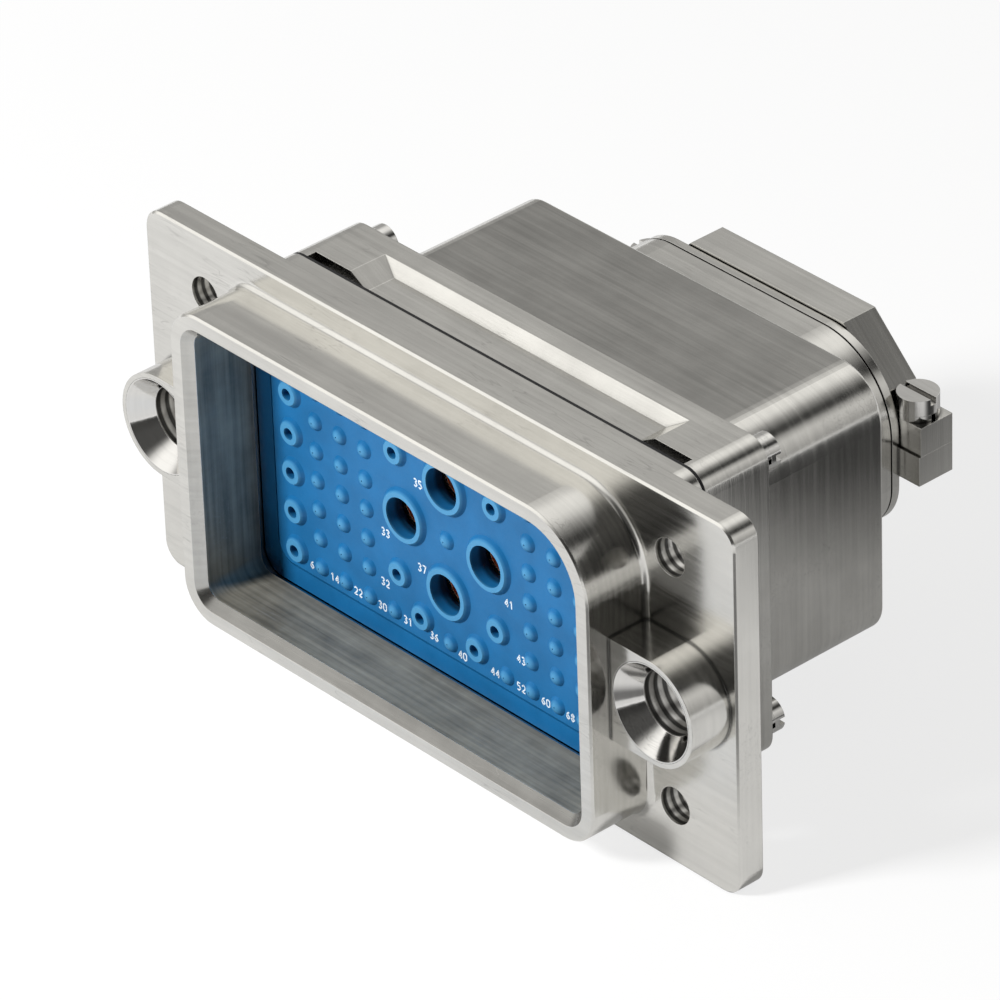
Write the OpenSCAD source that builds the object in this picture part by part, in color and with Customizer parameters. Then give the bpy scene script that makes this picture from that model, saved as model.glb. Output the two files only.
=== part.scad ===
// Rectangular panel connector: front shell, sealed insert with its contacts, backshell and cable clamp.
// The origin is the centre of the flange's rear face. X runs along the flange, Y rearwards, Z up.

/* [Contact pattern] */
// Distance of the first signal column from the centre
column_x = 10.1; // [9.8:0.1:10.6]
// Pitch of the signal columns
column_pitch = 3.1; // [3:0.05:3.3]
// Pitch of the signal rows
row_pitch = 2.9; // [2.7:0.05:3]
// Pitch of the medium contacts in each side column
side_pitch = 3.9; // [3.6:0.05:4]
// Distance of the power contacts from the centre
power_reach = 5.2; // [5:0.05:5.4]
// Place along X of the medium contacts beside the power contacts
near_x = 6.1; // [6:0.05:6.5]
// Place along Z of the medium contacts beside the power contacts
near_z = 6; // [5.9:0.05:6.2]
// Place along X of the medium contacts in the outer rows
outer_x = 3.4; // [3.2:0.05:3.6]
// Place along Z of the medium contacts in the outer rows
outer_z = 9.15; // [9:0.05:9.4]

/* [Contacts] */
// Diameter of a signal contact
signal_d = 1; // [0.8:0.05:1.1]
// Diameter of a medium contact
medium_d = 1.6; // [1.4:0.05:1.8]
// Diameter of a power contact
power_d = 4.2; // [3.8:0.1:4.3]
// Wall of a contact's tubular ends
contact_wall = 0.22; // [0.15:0.01:0.25]
// Wall of a power contact
power_wall = 0.6; // [0.4:0.05:0.8]
// How far a contact's collar stands out from its body
collar_step = 0.2; // [0.15:0.05:0.3]
// Length of a contact's collar
collar_l = 0.6; // [0.4:0.05:0.7]
// Distance of a contact's front end behind the bulkhead's front face
contact_inset = 0.4; // [0.2:0.05:0.8]
// Length of a contact's tail behind the grommet
tail_l = 3.2; // [2:0.1:5]
// Depth of the wire bore in a contact's tail
wire_bore_l = 2.6; // [1.5:0.1:3]

/* [Insert] */
// Margin of the rear insulator past the contacts of the side columns
tail_edge_x = 0.65; // [0.5:0.05:0.9]
// Margin of the rear insulator past the outermost contacts above and below
tail_edge_z = 0.4; // [0.3:0.05:0.7]
// Step from the rear insulator to the front insulator's core
core_step = 0.3; // [0.2:0.05:0.5]
// Step from the core to the front insulator's flange
seat_step = 0.9; // [0.7:0.05:1.1]
// Thickness of the front insulator's flange
seat_t = 1.1; // [1:0.05:1.2]
// Thickness of the retention plate
plate_t = 0.4; // [0.3:0.05:0.5]
// Length of the rear insulator
rear_insulator_l = 3.5; // [3:0.1:3.8]
// Thickness of the rear grommet
grommet_t = 2; // [1.5:0.1:2.4]
// Corner radius of the insulators
core_r = 2; // [1.5:0.1:2.2]

/* [Interface seal] */
// Thickness of the seal's ledge
ledge_t = 0.8; // [0.6:0.05:1.2]
// Width of the ledge round the plateau
ledge_w = 2.35; // [2:0.05:2.5]
// Height of the plateau above the ledge
plateau_t = 0.3; // [0.2:0.05:0.5]
// Corner radius of the plateau
plateau_r = 1.6; // [1:0.1:2.2]
// Width of the groove round the plateau
groove_w = 0.5; // [0.3:0.05:0.7]
// Depth of the groove below the ledge
groove_d = 0.35; // [0.2:0.05:0.5]
// Height of the rings and domes above the plateau
ring_h = 0.45; // [0.4:0.05:0.6]
// Reach of the sloped side of a medium or power ring
ring_flank = 0.38; // [0.3:0.02:0.44]
// Diameter of a dome over a signal cavity
signal_ring_d = 1.75; // [1.65:0.05:1.9]
// Outer diameter of a ring round a medium cavity
medium_ring_d = 2.8; // [2.7:0.05:2.9]
// Outer diameter of a ring round a power cavity
power_ring_d = 5.4; // [5.2:0.05:5.6]
// Diameter of the pinhole in a signal dome
signal_hole_d = 0.15; // [0.1:0.05:0.4]
// Diameter of the hole in a medium ring
medium_hole_d = 1.1; // [1:0.05:1.3]
// Diameter of the hole in a power ring
power_hole_d = 3.8; // [3.6:0.05:4]

/* [Front shell] */
// Wall of the collar beside the insert
collar_wall_x = 3.55; // [3.5:0.05:4]
// Wall of the collar above and below the insert
collar_wall_z = 3.05; // [3:0.05:3.6]
// Wall of the hood round the seal's pocket
hood_wall = 1.35; // [1.1:0.05:1.5]
// Length of the hood in front of the flange
hood_l = 6.4; // [5.5:0.1:8]
// Corner radius of the hood
hood_r = 3.6; // [3:0.1:4]
// Radius of the hood's keyed corner
key_r = 7; // [6:0.1:7.5]
// Fillet between the hood and the flange
hood_fillet = 0.6; // [0.15:0.05:1.1]
// Width of the rim's front face
rim_w = 1.35; // [1.3:0.05:1.4]
// Chamfer of the hood's mouth
mouth_chamfer = 0.85; // [0.7:0.05:0.9]
// Distance of the hood's lip in front of the seal's ledge
lip_gap = 1.1; // [0.8:0.05:1.3]
// Break on the hood's and the flange's edges
edge_break = 0.18; // [0.1:0.02:0.3]
// Reach of the flange past the hood at each end
flange_wing = 10.4; // [10.2:0.1:14]
// Reach of the flange past the hood above and below
flange_lip = 2.4; // [2:0.1:4]
// Thickness of the flange
flange_t = 2.6; // [2.2:0.1:3]
// Corner radius of the flange
flange_r = 2; // [1.5:0.1:3]
// Diameter of the mounting holes
hole_d = 3.4; // [3:0.1:3.6]
// Distance of the mounting holes from the hood's end walls
hole_out = 2.9; // [2.8:0.05:3.5]
// Spacing of the mounting holes across the flange
hole_pitch_z = 24; // [20:0.2:25]
// Distance of the bulkhead's front face in front of the flange's rear face
bulkhead_front = 0.3; // [0.1:0.1:0.6]
// Thickness of the bulkhead
bulkhead_t = 1.8; // [1.6:0.1:2.1]
// Length of the collar behind the flange
collar_l_shell = 3.9; // [3.7:0.1:4.2]
// Corner radius of the collar and of the backshell's flange
collar_r = 2.2; // [1.6:0.1:2.4]

/* [Guide sockets] */
// Distance of the guide sockets from the hood's end walls
guide_out = 4.8; // [4.8:0.05:5]
// Outer diameter of a guide boss
boss_d = 9.8; // [9.6:0.1:10]
// Height of a guide boss in front of the flange
boss_l = 4.2; // [3.6:0.1:5]
// Diameter of a guide bushing
bushing_d = 8.9; // [8.6:0.1:9.1]
// Bore of a guide bushing
guide_bore_d = 5.8; // [5.4:0.1:6.2]
// Width of the bushing's flat rim round the cone
guide_rim_w = 0.1; // [0.05:0.05:0.4]
// Depth of the cone
guide_cone_l = 2; // [1.5:0.1:2.5]

/* [Backshell] */
// Thickness of the gasket between shell and backshell
gasket_t = 0.3; // [0.2:0.05:0.6]
// Thickness of the backshell's flange
back_flange_t = 6.9; // [6.2:0.1:8]
// Half width of the relief between the ears
relief_half_w = 18.6; // [17:0.1:19]
// Length of the ramps at the relief's ends
relief_ramp_l = 2; // [1.6:0.1:2.4]
// Depth of the relief
relief_d = 1.15; // [0.8:0.05:1.2]
// Length of the relief's flat floor
relief_l = 4; // [3.4:0.1:4.6]
// Length of the relief's slope
relief_slope_l = 0.8; // [0.6:0.1:1.2]
// Reach of the pocket in front of each ear past the relief
pocket_w = 4.4; // [4:0.1:5]
// Length of the pocket in front of each ear
pocket_l = 0.95; // [0.7:0.05:1.4]
// Step from the flange's end faces to the box
box_step_x = 3.6; // [3.6:0.05:4]
// Step from the flange's top and bottom to the box
box_step_z = 2.6; // [2.6:0.05:2.8]
// Length of the box
box_l = 16.4; // [14:0.2:24]
// Corner radius of the box
box_r = 3.1; // [2.8:0.1:3.4]
// Radius of the box's keyed corner
box_key_r = 4.6; // [4:0.1:4.8]
// Wall of the box
box_wall = 1.5; // [1.2:0.1:1.6]
// Corner radius of the box's cavity
box_cavity_r = 2; // [1.5:0.1:2.1]
// Round on the box's rear edges
box_round = 0.35; // [0.2:0.05:0.5]
// Room round the rear insulator in the backshell
tail_room = 0.4; // [0.3:0.05:0.45]
// Length of the backshell's wide front cavity
front_cavity_l = 5.4; // [5:0.1:6]
// Width of the neck
neck_w = 32; // [31:0.2:34]
// Height of the neck
neck_h = 18; // [17.6:0.1:19]
// Corner radius of the neck
neck_r = 5.2; // [4.6:0.1:6]
// Radius of the neck's keyed corner
neck_key_r = 8; // [7:0.1:8.6]
// Length of the neck
neck_l = 6.9; // [5.5:0.1:10]
// Diameter of the cable passage
cable_d = 12; // [10:0.2:12.4]

/* [Cable clamp] */
// Thickness of the clamp's plate on the neck
spigot_t = 0.8; // [0.6:0.1:1.2]
// Thickness of the clamp along the cable
clamp_t = 3.8; // [3.8:0.1:5]
// Height of each clamp half
clamp_h = 9.25; // [9:0.05:10]
// Half width of the clamp's body
clamp_half_w = 14.2; // [13.8:0.1:15]
// Chamfer of the clamp's body
clamp_chamfer = 4.9; // [4:0.1:5.4]
// Reach of the ears past the body
ear_l = 4.3; // [4.3:0.1:5]
// Thickness of an ear
ear_t = 2.8; // [2.5:0.1:3.2]
// Gap between the saddle and the plate on the neck
saddle_gap = 0.1; // [0.05:0.05:0.3]
// Place along X of the screws that hold the clamp on the neck
fixing_x = 10; // [9.6:0.1:10.4]
// Distance of those screws below the cable's axis
fixing_z = 4.6; // [4.4:0.1:4.9]
// Depth of those screws' counterbore
fixing_sink = 1.5; // [1.2:0.1:1.8]

/* [Fasteners] */
// Thread diameter of the backshell screws
back_screw_d = 2; // [1.8:0.1:2.1]
// Head diameter of the backshell screws
back_head_d = 3.2; // [3:0.1:3.4]
// Head height of the backshell screws
back_head_h = 1.1; // [1:0.1:1.6]
// Distance of the backshell screws from the collar's end faces
back_inset_x = 2.3; // [2.2:0.05:2.5]
// Distance of the backshell screws from the collar's top and bottom
back_inset_z = 2.45; // [2.4:0.05:2.6]
// Thread length of the backshell screws in the front shell
back_grip = 3.1; // [2.6:0.1:3.3]
// Outer diameter of the backshell washers
washer_d = 3.5; // [3.4:0.05:3.7]
// Thickness of the backshell washers
washer_t = 0.4; // [0.3:0.05:0.5]
// Thickness of the lock washers
lock_t = 0.6; // [0.5:0.05:0.8]
// Thread diameter of the clamp screws
clamp_screw_d = 1.9; // [1.7:0.1:2]
// Head diameter of the clamp screws
clamp_head_d = 3.7; // [3.4:0.1:3.8]
// Head height of the clamp screws
clamp_head_h = 1.5; // [1.2:0.1:2]
// Thread length of the screws that hold the clamp on the neck
fixing_grip = 4; // [3:0.1:5]
// Width of a screw's slot
slot_w = 0.6; // [0.4:0.05:0.8]
// Depth of a screw's slot
slot_d = 0.6; // [0.4:0.05:0.7]
// Width of the split in a lock washer
split_w = 0.5; // [0.3:0.05:0.7]

/* [Fits] */
// Gap round the insert's parts in the shell, on each side
insert_gap = 0.1; // [0.05:0.05:0.15]
// Gap round a contact in its bore, on each side
contact_gap = 0.05; // [0.03:0.01:0.08]
// Gap round a bushing in its boss, on each side
bushing_gap = 0.02; // [0:0.01:0.05]
// Gap round a screw in a clearance hole, on each side
screw_gap = 0.1; // [0.05:0.01:0.12]
// Gap round a screw in its thread, on each side
thread_gap = 0.05; // [0.02:0.01:0.08]
// Gap round a screw in its washers, on each side
washer_gap = 0.1; // [0.05:0.01:0.15]

/* [Hidden] */
$fn = 48;
metal = [0.74, 0.73, 0.70];
steel = [0.80, 0.80, 0.80];
blue = [0.17, 0.47, 0.70];
black = [0.08, 0.08, 0.09];
copper = [0.80, 0.50, 0.30];
gold = [0.85, 0.68, 0.36];
// Counts of the contact pattern
signal_columns = 3;
signal_rows = 8;
side_rows = 6;
// Overlap that lets a cutter pass through a face
cut = 1;
// Overlap that joins an added piece to its carrier
weld = 0.1;

// Places of the contacts as [x, z]
side_x = column_x + signal_columns * column_pitch;
row_span = (signal_rows - 1) / 2;
side_span = (side_rows - 1) / 2;
top_z = row_span * row_pitch;
side_top_z = side_span * side_pitch;
signal_places = [
    [0, 0],
    for (s = [-1, 1]) [0, s * top_z],
    for (s = [-1, 1], t = [-1, 1]) [s * (column_x - column_pitch), t * top_z],
    for (s = [-1, 1], c = [0 : signal_columns - 1], r = [-row_span : row_span])
        [s * (column_x + c * column_pitch), r * row_pitch]];
medium_places = [
    for (s = [-1, 1], t = [-1, 1]) [s * near_x, t * near_z],
    for (s = [-1, 1], t = [-1, 1]) [s * outer_x, t * outer_z],
    for (s = [-1, 1], r = [-side_span : side_span]) [s * side_x, r * side_pitch]];
power_places = [[power_reach, 0], [-power_reach, 0], [0, power_reach], [0, -power_reach]];

// Sections of the insert, from the contacts outwards
tail_w = 2 * (side_x + medium_d / 2 + tail_edge_x);
tail_h = 2 * (max(top_z + signal_d / 2, side_top_z + medium_d / 2) + tail_edge_z);
core_w = tail_w + 2 * core_step;
core_h = tail_h + 2 * core_step;
seat_w = core_w + 2 * seat_step;
seat_h = core_h + 2 * seat_step;
seat_r = core_r + seat_step;

// Outlines of the shell
hood_w = seat_w + 2 * collar_wall_x;
hood_h = seat_h + 2 * collar_wall_z;
hood_in = rim_w + mouth_chamfer;
mouth_w = hood_w - 2 * hood_in;
mouth_h = hood_h - 2 * hood_in;
seal_pocket_w = hood_w - 2 * hood_wall;
seal_pocket_h = hood_h - 2 * hood_wall;
flange_w = hood_w + 2 * flange_wing;
flange_h = hood_h + 2 * flange_lip;
hole_x = hood_w / 2 + hole_out;
guide_x = hood_w / 2 + guide_out;
screw_x = hood_w / 2 - back_inset_x;
screw_z = hood_h / 2 - back_inset_z;

// Stations along Y
hood_y = -flange_t - hood_l;
boss_y = -flange_t - boss_l;
bulk_y = -bulkhead_front;
ledge_y = bulk_y - ledge_t;
plateau_y = ledge_y - plateau_t;
lip_y = ledge_y - lip_gap;
seat_y = bulk_y + bulkhead_t;
plate_y = seat_y + seat_t;
tail_y = plate_y + plate_t;
collar_y = collar_l_shell;
back_y = collar_y + gasket_t;
grommet_y = tail_y + rear_insulator_l;
grommet_end_y = grommet_y + grommet_t;
contact_y = bulk_y + contact_inset;
contact_end_y = grommet_end_y + tail_l;
front_cavity_end_y = back_y + front_cavity_l;
box_y = back_y + back_flange_t;
box_end_y = box_y + box_l;
neck_end_y = box_end_y + neck_l;
clamp_y = neck_end_y + spigot_t;
clamp_end_y = clamp_y + clamp_t;
clamp_mid_y = (clamp_y + clamp_end_y) / 2;

// Outlines of the backshell and the clamp
box_w = hood_w - 2 * box_step_x;
box_h = hood_h - 2 * box_step_z;
box_cavity_w = box_w - 2 * box_wall;
box_cavity_h = box_h - 2 * box_wall;
relief_floor_z = hood_h / 2 - relief_d;
ear_mid_x = clamp_half_w + ear_l / 2;

// Draws a plane outline of X and Z, thick from y0 to y1.
module slab(y0, y1) {
    translate([0, y1, 0])
        rotate([90, 0, 0])
            linear_extrude(y1 - y0)
                children();
}

// Turns a profile of radius and Y about an axis along Y.
module turned(place) {
    translate([place[0], 0, place[1]])
        rotate([-90, 0, 0])
            rotate_extrude()
                children();
}

// Rectangle with round corners, the one at +X and +Z with a radius of its own.
module rounded(w, h, r, key = 0) {
    corner_r = key > 0 ? key : r;
    difference() {
        square([w, h], center = true);
        for (a = [90, 180, 270]) {
            long = a == 180 ? w : h;
            wide = a == 180 ? h : w;
            rotate(a)
                corner_waste(long, wide, r);
        }
        corner_waste(w, h, corner_r);
    }
}

// What a round takes off the corner at +X and +Z of a rectangle.
module corner_waste(w, h, r) {
    translate([w / 2 - r, h / 2 - r])
        difference() {
            square(r + cut);
            circle(r);
        }
}

// Sweeps a profile round such an outline: X outwards from it, Y forwards from the plane at y.
module around(y, w, h, r, key = 0) {
    key_corner = key > 0 ? key : r;
    translate([0, y, 0])
        rotate([90, 0, 0])
            for (a = [0, 90, 180, 270]) {
                long = a % 180 == 0 ? h : w;
                wide = a % 180 == 0 ? w : h;
                end_r = a == 0 ? key_corner : r;
                start_r = a == 90 ? key_corner : r;
                rotate(a) {
                    translate([wide / 2, long / 2 - end_r, 0])
                        rotate([90, 0, 0])
                            linear_extrude(long - end_r - start_r)
                                children();
                    translate([wide / 2 - end_r, long / 2 - end_r, 0])
                        rotate_extrude(angle = 90)
                            translate([end_r, 0])
                                children();
                }
            }
}

// Profile of a broken edge, to be cut away.
module break_profile(size) {
    polygon([[-size - weld, weld], [weld, weld], [weld, -size - weld]]);
}

// Profile of a chamfer on an opening's edge, to be cut away.
module mouth_profile(size) {
    polygon([[-weld, weld], [size + weld, weld], [-weld, -size - weld]]);
}

// Profile of a rounded edge, to be cut away.
module round_profile(size) {
    translate([-size, -size])
        difference() {
            square(size + weld);
            circle(size);
        }
}

// Profile of a fillet in an inner corner.
module fillet_profile(size) {
    difference() {
        translate([-weld, -weld])
            square(size + weld);
        translate([size, size])
            circle(size);
    }
}

// Circles at a list of places.
module circles(places, d) {
    for (p = places)
        translate(p)
            circle(d = d);
}

// Holes for all contacts, each wider than its contact by the same amount.
module contact_holes(extra = 0) {
    circles(signal_places, signal_d + 2 * contact_gap + extra);
    circles(medium_places, medium_d + 2 * contact_gap + extra);
    circles(power_places, power_d + 2 * contact_gap + extra);
}

// Places its children at the four backshell screws.
module at_back_screws() {
    for (x = [-screw_x, screw_x], z = [-screw_z, screw_z])
        translate([x, 0, z])
            children();
}

// Cylinder along Y from y0 to y1.
module rod(y0, y1, d) {
    translate([0, y0, 0])
        rotate([-90, 0, 0])
            cylinder(h = y1 - y0, d = d);
}

// Solid outline of the guide bosses, each joined to the hood's end wall.
module boss_outline() {
    for (s = [-1, 1]) {
        translate([s * guide_x, 0])
            circle(d = boss_d);
        translate([s * (guide_x + hood_w / 2 - hood_wall) / 2, 0])
            square([guide_out + hood_wall, boss_d], center = true);
    }
}

module front_shell() {
    color(metal)
        difference() {
            union() {
                slab(-flange_t, 0)
                    rounded(flange_w, flange_h, flange_r);
                slab(hood_y, weld - flange_t)
                    rounded(hood_w, hood_h, hood_r, key_r);
                slab(boss_y, weld - flange_t)
                    boss_outline();
                around(-flange_t, hood_w, hood_h, hood_r, key_r)
                    fillet_profile(hood_fillet);
                slab(-weld, collar_y)
                    rounded(hood_w, hood_h, collar_r);
            }
            slab(hood_y - cut, lip_y + weld)
                rounded(mouth_w, mouth_h, hood_r - hood_in, key_r - hood_in);
            around(hood_y, mouth_w, mouth_h, hood_r - hood_in, key_r - hood_in)
                mouth_profile(mouth_chamfer);
            slab(lip_y, bulk_y)
                rounded(seal_pocket_w, seal_pocket_h, hood_r - hood_wall, key_r - hood_wall);
            slab(bulk_y - cut, seat_y + cut)
                rounded(core_w + 2 * insert_gap, core_h + 2 * insert_gap, core_r);
            slab(seat_y, collar_y + cut)
                rounded(seat_w + 2 * insert_gap, seat_h + 2 * insert_gap, seat_r);
            around(hood_y, hood_w, hood_h, hood_r, key_r)
                break_profile(edge_break);
            around(-flange_t, flange_w, flange_h, flange_r)
                break_profile(edge_break);
            for (s = [-1, 1]) {
                translate([s * guide_x, 0, 0])
                    rod(boss_y - cut, cut, bushing_d + 2 * bushing_gap);
                for (z = [-1, 1])
                    translate([s * hole_x, 0, z * hole_pitch_z / 2])
                        rod(-flange_t - cut - hood_fillet, cut, hole_d);
            }
            at_back_screws()
                rod(collar_y - back_grip - thread_gap, collar_y + cut, back_screw_d + 2 * thread_gap);
        }
}

module guide_bushings() {
    color(steel)
        for (s = [-1, 1])
            turned([s * guide_x, 0])
                polygon([
                    [guide_bore_d / 2, 0], [bushing_d / 2, 0],
                    [bushing_d / 2, boss_y], [bushing_d / 2 - guide_rim_w, boss_y],
                    [guide_bore_d / 2, boss_y + guide_cone_l]]);
}

// Raised rings with sloped sides at a list of places, each round a hole.
module seal_rings(places, ring_d, ring_hole_d) {
    top_y = plateau_y - ring_h;
    for (p = places)
        turned(p)
            polygon([
                [ring_hole_d / 2, top_y], [ring_d / 2 - ring_flank, top_y], [ring_d / 2, plateau_y],
                [ring_d / 2, plateau_y + weld], [ring_hole_d / 2, plateau_y + weld]]);
}

// Domes over the signal cavities, each a cap of a ball with a pinhole.
module seal_domes() {
    dome_r = signal_ring_d / 2;
    ball_r = (dome_r * dome_r + ring_h * ring_h) / (2 * ring_h);
    for (p = signal_places)
        turned(p)
            intersection() {
                translate([0, plateau_y - ring_h + ball_r])
                    circle(ball_r);
                translate([signal_hole_d / 2, plateau_y - ring_h - cut])
                    square([dome_r, ring_h + cut + weld]);
            }
}

module interface_seal() {
    seal_w = seal_pocket_w - 2 * insert_gap;
    seal_h = seal_pocket_h - 2 * insert_gap;
    seal_r = hood_r - hood_wall - insert_gap;
    seal_key_r = key_r - hood_wall - insert_gap;
    plateau_w = seal_w - 2 * ledge_w;
    plateau_h = seal_h - 2 * ledge_w;
    plateau_key_r = seal_key_r - ledge_w;
    color(blue) {
        difference() {
            union() {
                slab(ledge_y, bulk_y)
                    rounded(seal_w, seal_h, seal_r, seal_key_r);
                slab(plateau_y, ledge_y + weld)
                    rounded(plateau_w, plateau_h, plateau_r, plateau_key_r);
            }
            slab(plateau_y - cut, ledge_y + groove_d)
                difference() {
                    rounded(plateau_w + 2 * groove_w, plateau_h + 2 * groove_w, plateau_r + groove_w,
                        plateau_key_r + groove_w);
                    rounded(plateau_w, plateau_h, plateau_r, plateau_key_r);
                }
            slab(plateau_y - cut, bulk_y + cut) {
                circles(signal_places, signal_hole_d);
                circles(medium_places, medium_hole_d);
                circles(power_places, power_hole_d);
            }
        }
        seal_domes();
        seal_rings(medium_places, medium_ring_d, medium_hole_d);
        seal_rings(power_places, power_ring_d, power_hole_d);
    }
}

module front_insulator() {
    color(blue)
        difference() {
            union() {
                slab(bulk_y, seat_y + weld)
                    rounded(core_w, core_h, core_r);
                slab(seat_y, plate_y)
                    rounded(seat_w, seat_h, seat_r);
            }
            slab(bulk_y - cut, plate_y + cut)
                contact_holes();
            slab(plate_y - collar_l - contact_gap, plate_y + cut)
                contact_holes(2 * collar_step);
        }
}

module retention_plate() {
    color(gold)
        slab(plate_y, tail_y)
            difference() {
                rounded(seat_w, seat_h, seat_r);
                contact_holes();
            }
}

module rear_insulator() {
    color(blue)
        slab(tail_y, grommet_y)
            difference() {
                rounded(tail_w, tail_h, core_r);
                contact_holes();
            }
}

module rear_grommet() {
    color(blue)
        slab(grommet_y, grommet_end_y)
            difference() {
                rounded(tail_w, tail_h, core_r);
                contact_holes();
            }
}

module insert_retainer() {
    color(metal)
        slab(tail_y, collar_y)
            difference() {
                rounded(seat_w, seat_h, seat_r);
                rounded(tail_w + 2 * insert_gap, tail_h + 2 * insert_gap, core_r);
            }
}

// A turned contact: tubular ends, and a collar that the retention plate holds.
module contact(place, d, wall) {
    bore = d / 2 - wall;
    collar_r = d / 2 + collar_step;
    turned(place)
        polygon([
            [bore, contact_y], [d / 2, contact_y],
            [d / 2, plate_y - collar_l], [collar_r, plate_y - collar_l],
            [collar_r, plate_y], [d / 2, plate_y],
            [d / 2, contact_end_y], [bore, contact_end_y],
            [bore, contact_end_y - wire_bore_l], [0, contact_end_y - wire_bore_l],
            [0, tail_y], [bore, tail_y]]);
}

module signal_contacts() {
    color(gold)
        for (p = signal_places)
            contact(p, signal_d, contact_wall);
}

module medium_contacts() {
    color(gold)
        for (p = medium_places)
            contact(p, medium_d, contact_wall);
}

module power_contacts() {
    color(copper)
        for (p = power_places)
            contact(p, power_d, power_wall);
}

module joint_gasket() {
    color(black)
        difference() {
            slab(collar_y, back_y)
                difference() {
                    rounded(hood_w, hood_h, collar_r);
                    rounded(tail_w + 2 * tail_room, tail_h + 2 * tail_room, core_r);
                }
            at_back_screws()
                rod(collar_y - cut, back_y + cut, back_screw_d + 2 * screw_gap);
        }
}

// Waste of the relief on the backshell's top: a flat floor, a slope, a ramp at each end, and a pocket
// before each ear.
module relief_waste() {
    spread = relief_ramp_l / relief_d;
    low_half_w = relief_half_w - relief_ramp_l - spread * cut;
    high_half_w = relief_half_w + 2 * spread * cut;
    intersection() {
        rotate([90, 0, 90])
            translate([0, 0, -hood_w / 2])
                linear_extrude(hood_w)
                    polygon([
                        [back_y - cut, relief_floor_z],
                        [back_y + relief_l, relief_floor_z],
                        [back_y + relief_l + relief_slope_l, hood_h / 2],
                        [back_y + relief_l + relief_slope_l, hood_h / 2 + cut],
                        [back_y - cut, hood_h / 2 + cut]]);
        slab(back_y - 2 * cut, box_y)
            polygon([
                [-low_half_w, relief_floor_z - cut], [low_half_w, relief_floor_z - cut],
                [high_half_w, hood_h / 2 + 2 * cut], [-high_half_w, hood_h / 2 + 2 * cut]]);
    }
    pocket_half_w = relief_half_w + pocket_w;
    translate([-pocket_half_w, back_y - cut, relief_floor_z])
        cube([2 * pocket_half_w, pocket_l + cut, relief_d + cut]);
}

module backshell() {
    color(metal)
        difference() {
            union() {
                slab(back_y, box_y)
                    rounded(hood_w, hood_h, collar_r);
                slab(box_y - weld, box_end_y)
                    rounded(box_w, box_h, box_r, box_key_r);
                slab(box_end_y - box_round - weld, neck_end_y)
                    rounded(neck_w, neck_h, neck_r, neck_key_r);
            }
            relief_waste();
            mirror([0, 0, 1])
                relief_waste();
            difference() {
                around(box_end_y, box_w, box_h, box_r, box_key_r)
                    mirror([0, 1])
                        round_profile(box_round);
                slab(box_y, neck_end_y)
                    rounded(neck_w, neck_h, neck_r, neck_key_r);
            }
            around(neck_end_y, neck_w, neck_h, neck_r, neck_key_r)
                mirror([0, 1])
                    break_profile(edge_break);
            slab(back_y - cut, front_cavity_end_y)
                rounded(tail_w + 2 * tail_room, tail_h + 2 * tail_room, core_r);
            slab(front_cavity_end_y - cut, box_end_y - box_wall)
                rounded(box_cavity_w, box_cavity_h, box_cavity_r);
            rod(box_y, neck_end_y + cut, cable_d);
            at_back_screws()
                rod(back_y - cut, box_y + cut, back_screw_d + 2 * screw_gap);
            for (s = [-1, 1])
                translate([s * fixing_x, 0, -fixing_z])
                    rod(neck_end_y - fixing_grip - thread_gap, neck_end_y + cut,
                        clamp_screw_d + 2 * thread_gap);
        }
}

// A screw along +Y: its slotted head's underside at the origin, its shank of length l towards -Y.
module slotted_screw(d, head_d, head_h, l) {
    difference() {
        union() {
            rod(-l, weld, d);
            rod(0, head_h, head_d);
        }
        translate([-head_d, head_h - slot_d, -slot_w / 2])
            cube([2 * head_d, slot_d + cut, slot_w]);
    }
}

// A split lock washer along +Y, from the origin.
module lock_washer(inner_d, outer_d) {
    difference() {
        rod(0, lock_t, outer_d);
        rod(-cut, lock_t + cut, inner_d);
        translate([0, -cut, -split_w / 2])
            cube([outer_d, lock_t + 2 * cut, split_w]);
    }
}

module backshell_screws() {
    stack = washer_t + lock_t;
    color(steel)
        at_back_screws()
            translate([0, box_y + stack, 0])
                slotted_screw(back_screw_d, back_head_d, back_head_h,
                    stack + box_y - collar_y + back_grip);
}

module backshell_lock_washers() {
    color(steel)
        at_back_screws()
            translate([0, box_y + washer_t, 0])
                lock_washer(back_screw_d + 2 * washer_gap, back_head_d);
}

module backshell_washers() {
    color(steel)
        at_back_screws()
            difference() {
                rod(box_y, box_y + washer_t, washer_d);
                rod(box_y - cut, box_y + washer_t + cut, back_screw_d + 2 * washer_gap);
            }
}

// Upper half of the clamp's outline, with its ears.
module clamp_outline() {
    top_w = clamp_half_w - clamp_chamfer;
    shoulder_z = clamp_h - clamp_chamfer;
    ear_x = clamp_half_w + ear_l;
    difference() {
        polygon([
            [-ear_x, 0], [ear_x, 0], [ear_x, ear_t], [clamp_half_w, ear_t],
            [clamp_half_w, shoulder_z], [top_w, clamp_h], [-top_w, clamp_h],
            [-clamp_half_w, shoulder_z], [-clamp_half_w, ear_t], [-ear_x, ear_t]]);
        circle(d = cable_d);
    }
}

// Cylinder along Z at both clamp screws.
module clamp_screw_holes(d) {
    for (s = [-1, 1])
        translate([s * ear_mid_x, clamp_mid_y, -ear_t - cut])
            cylinder(h = 2 * (ear_t + cut), d = d);
}

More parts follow.
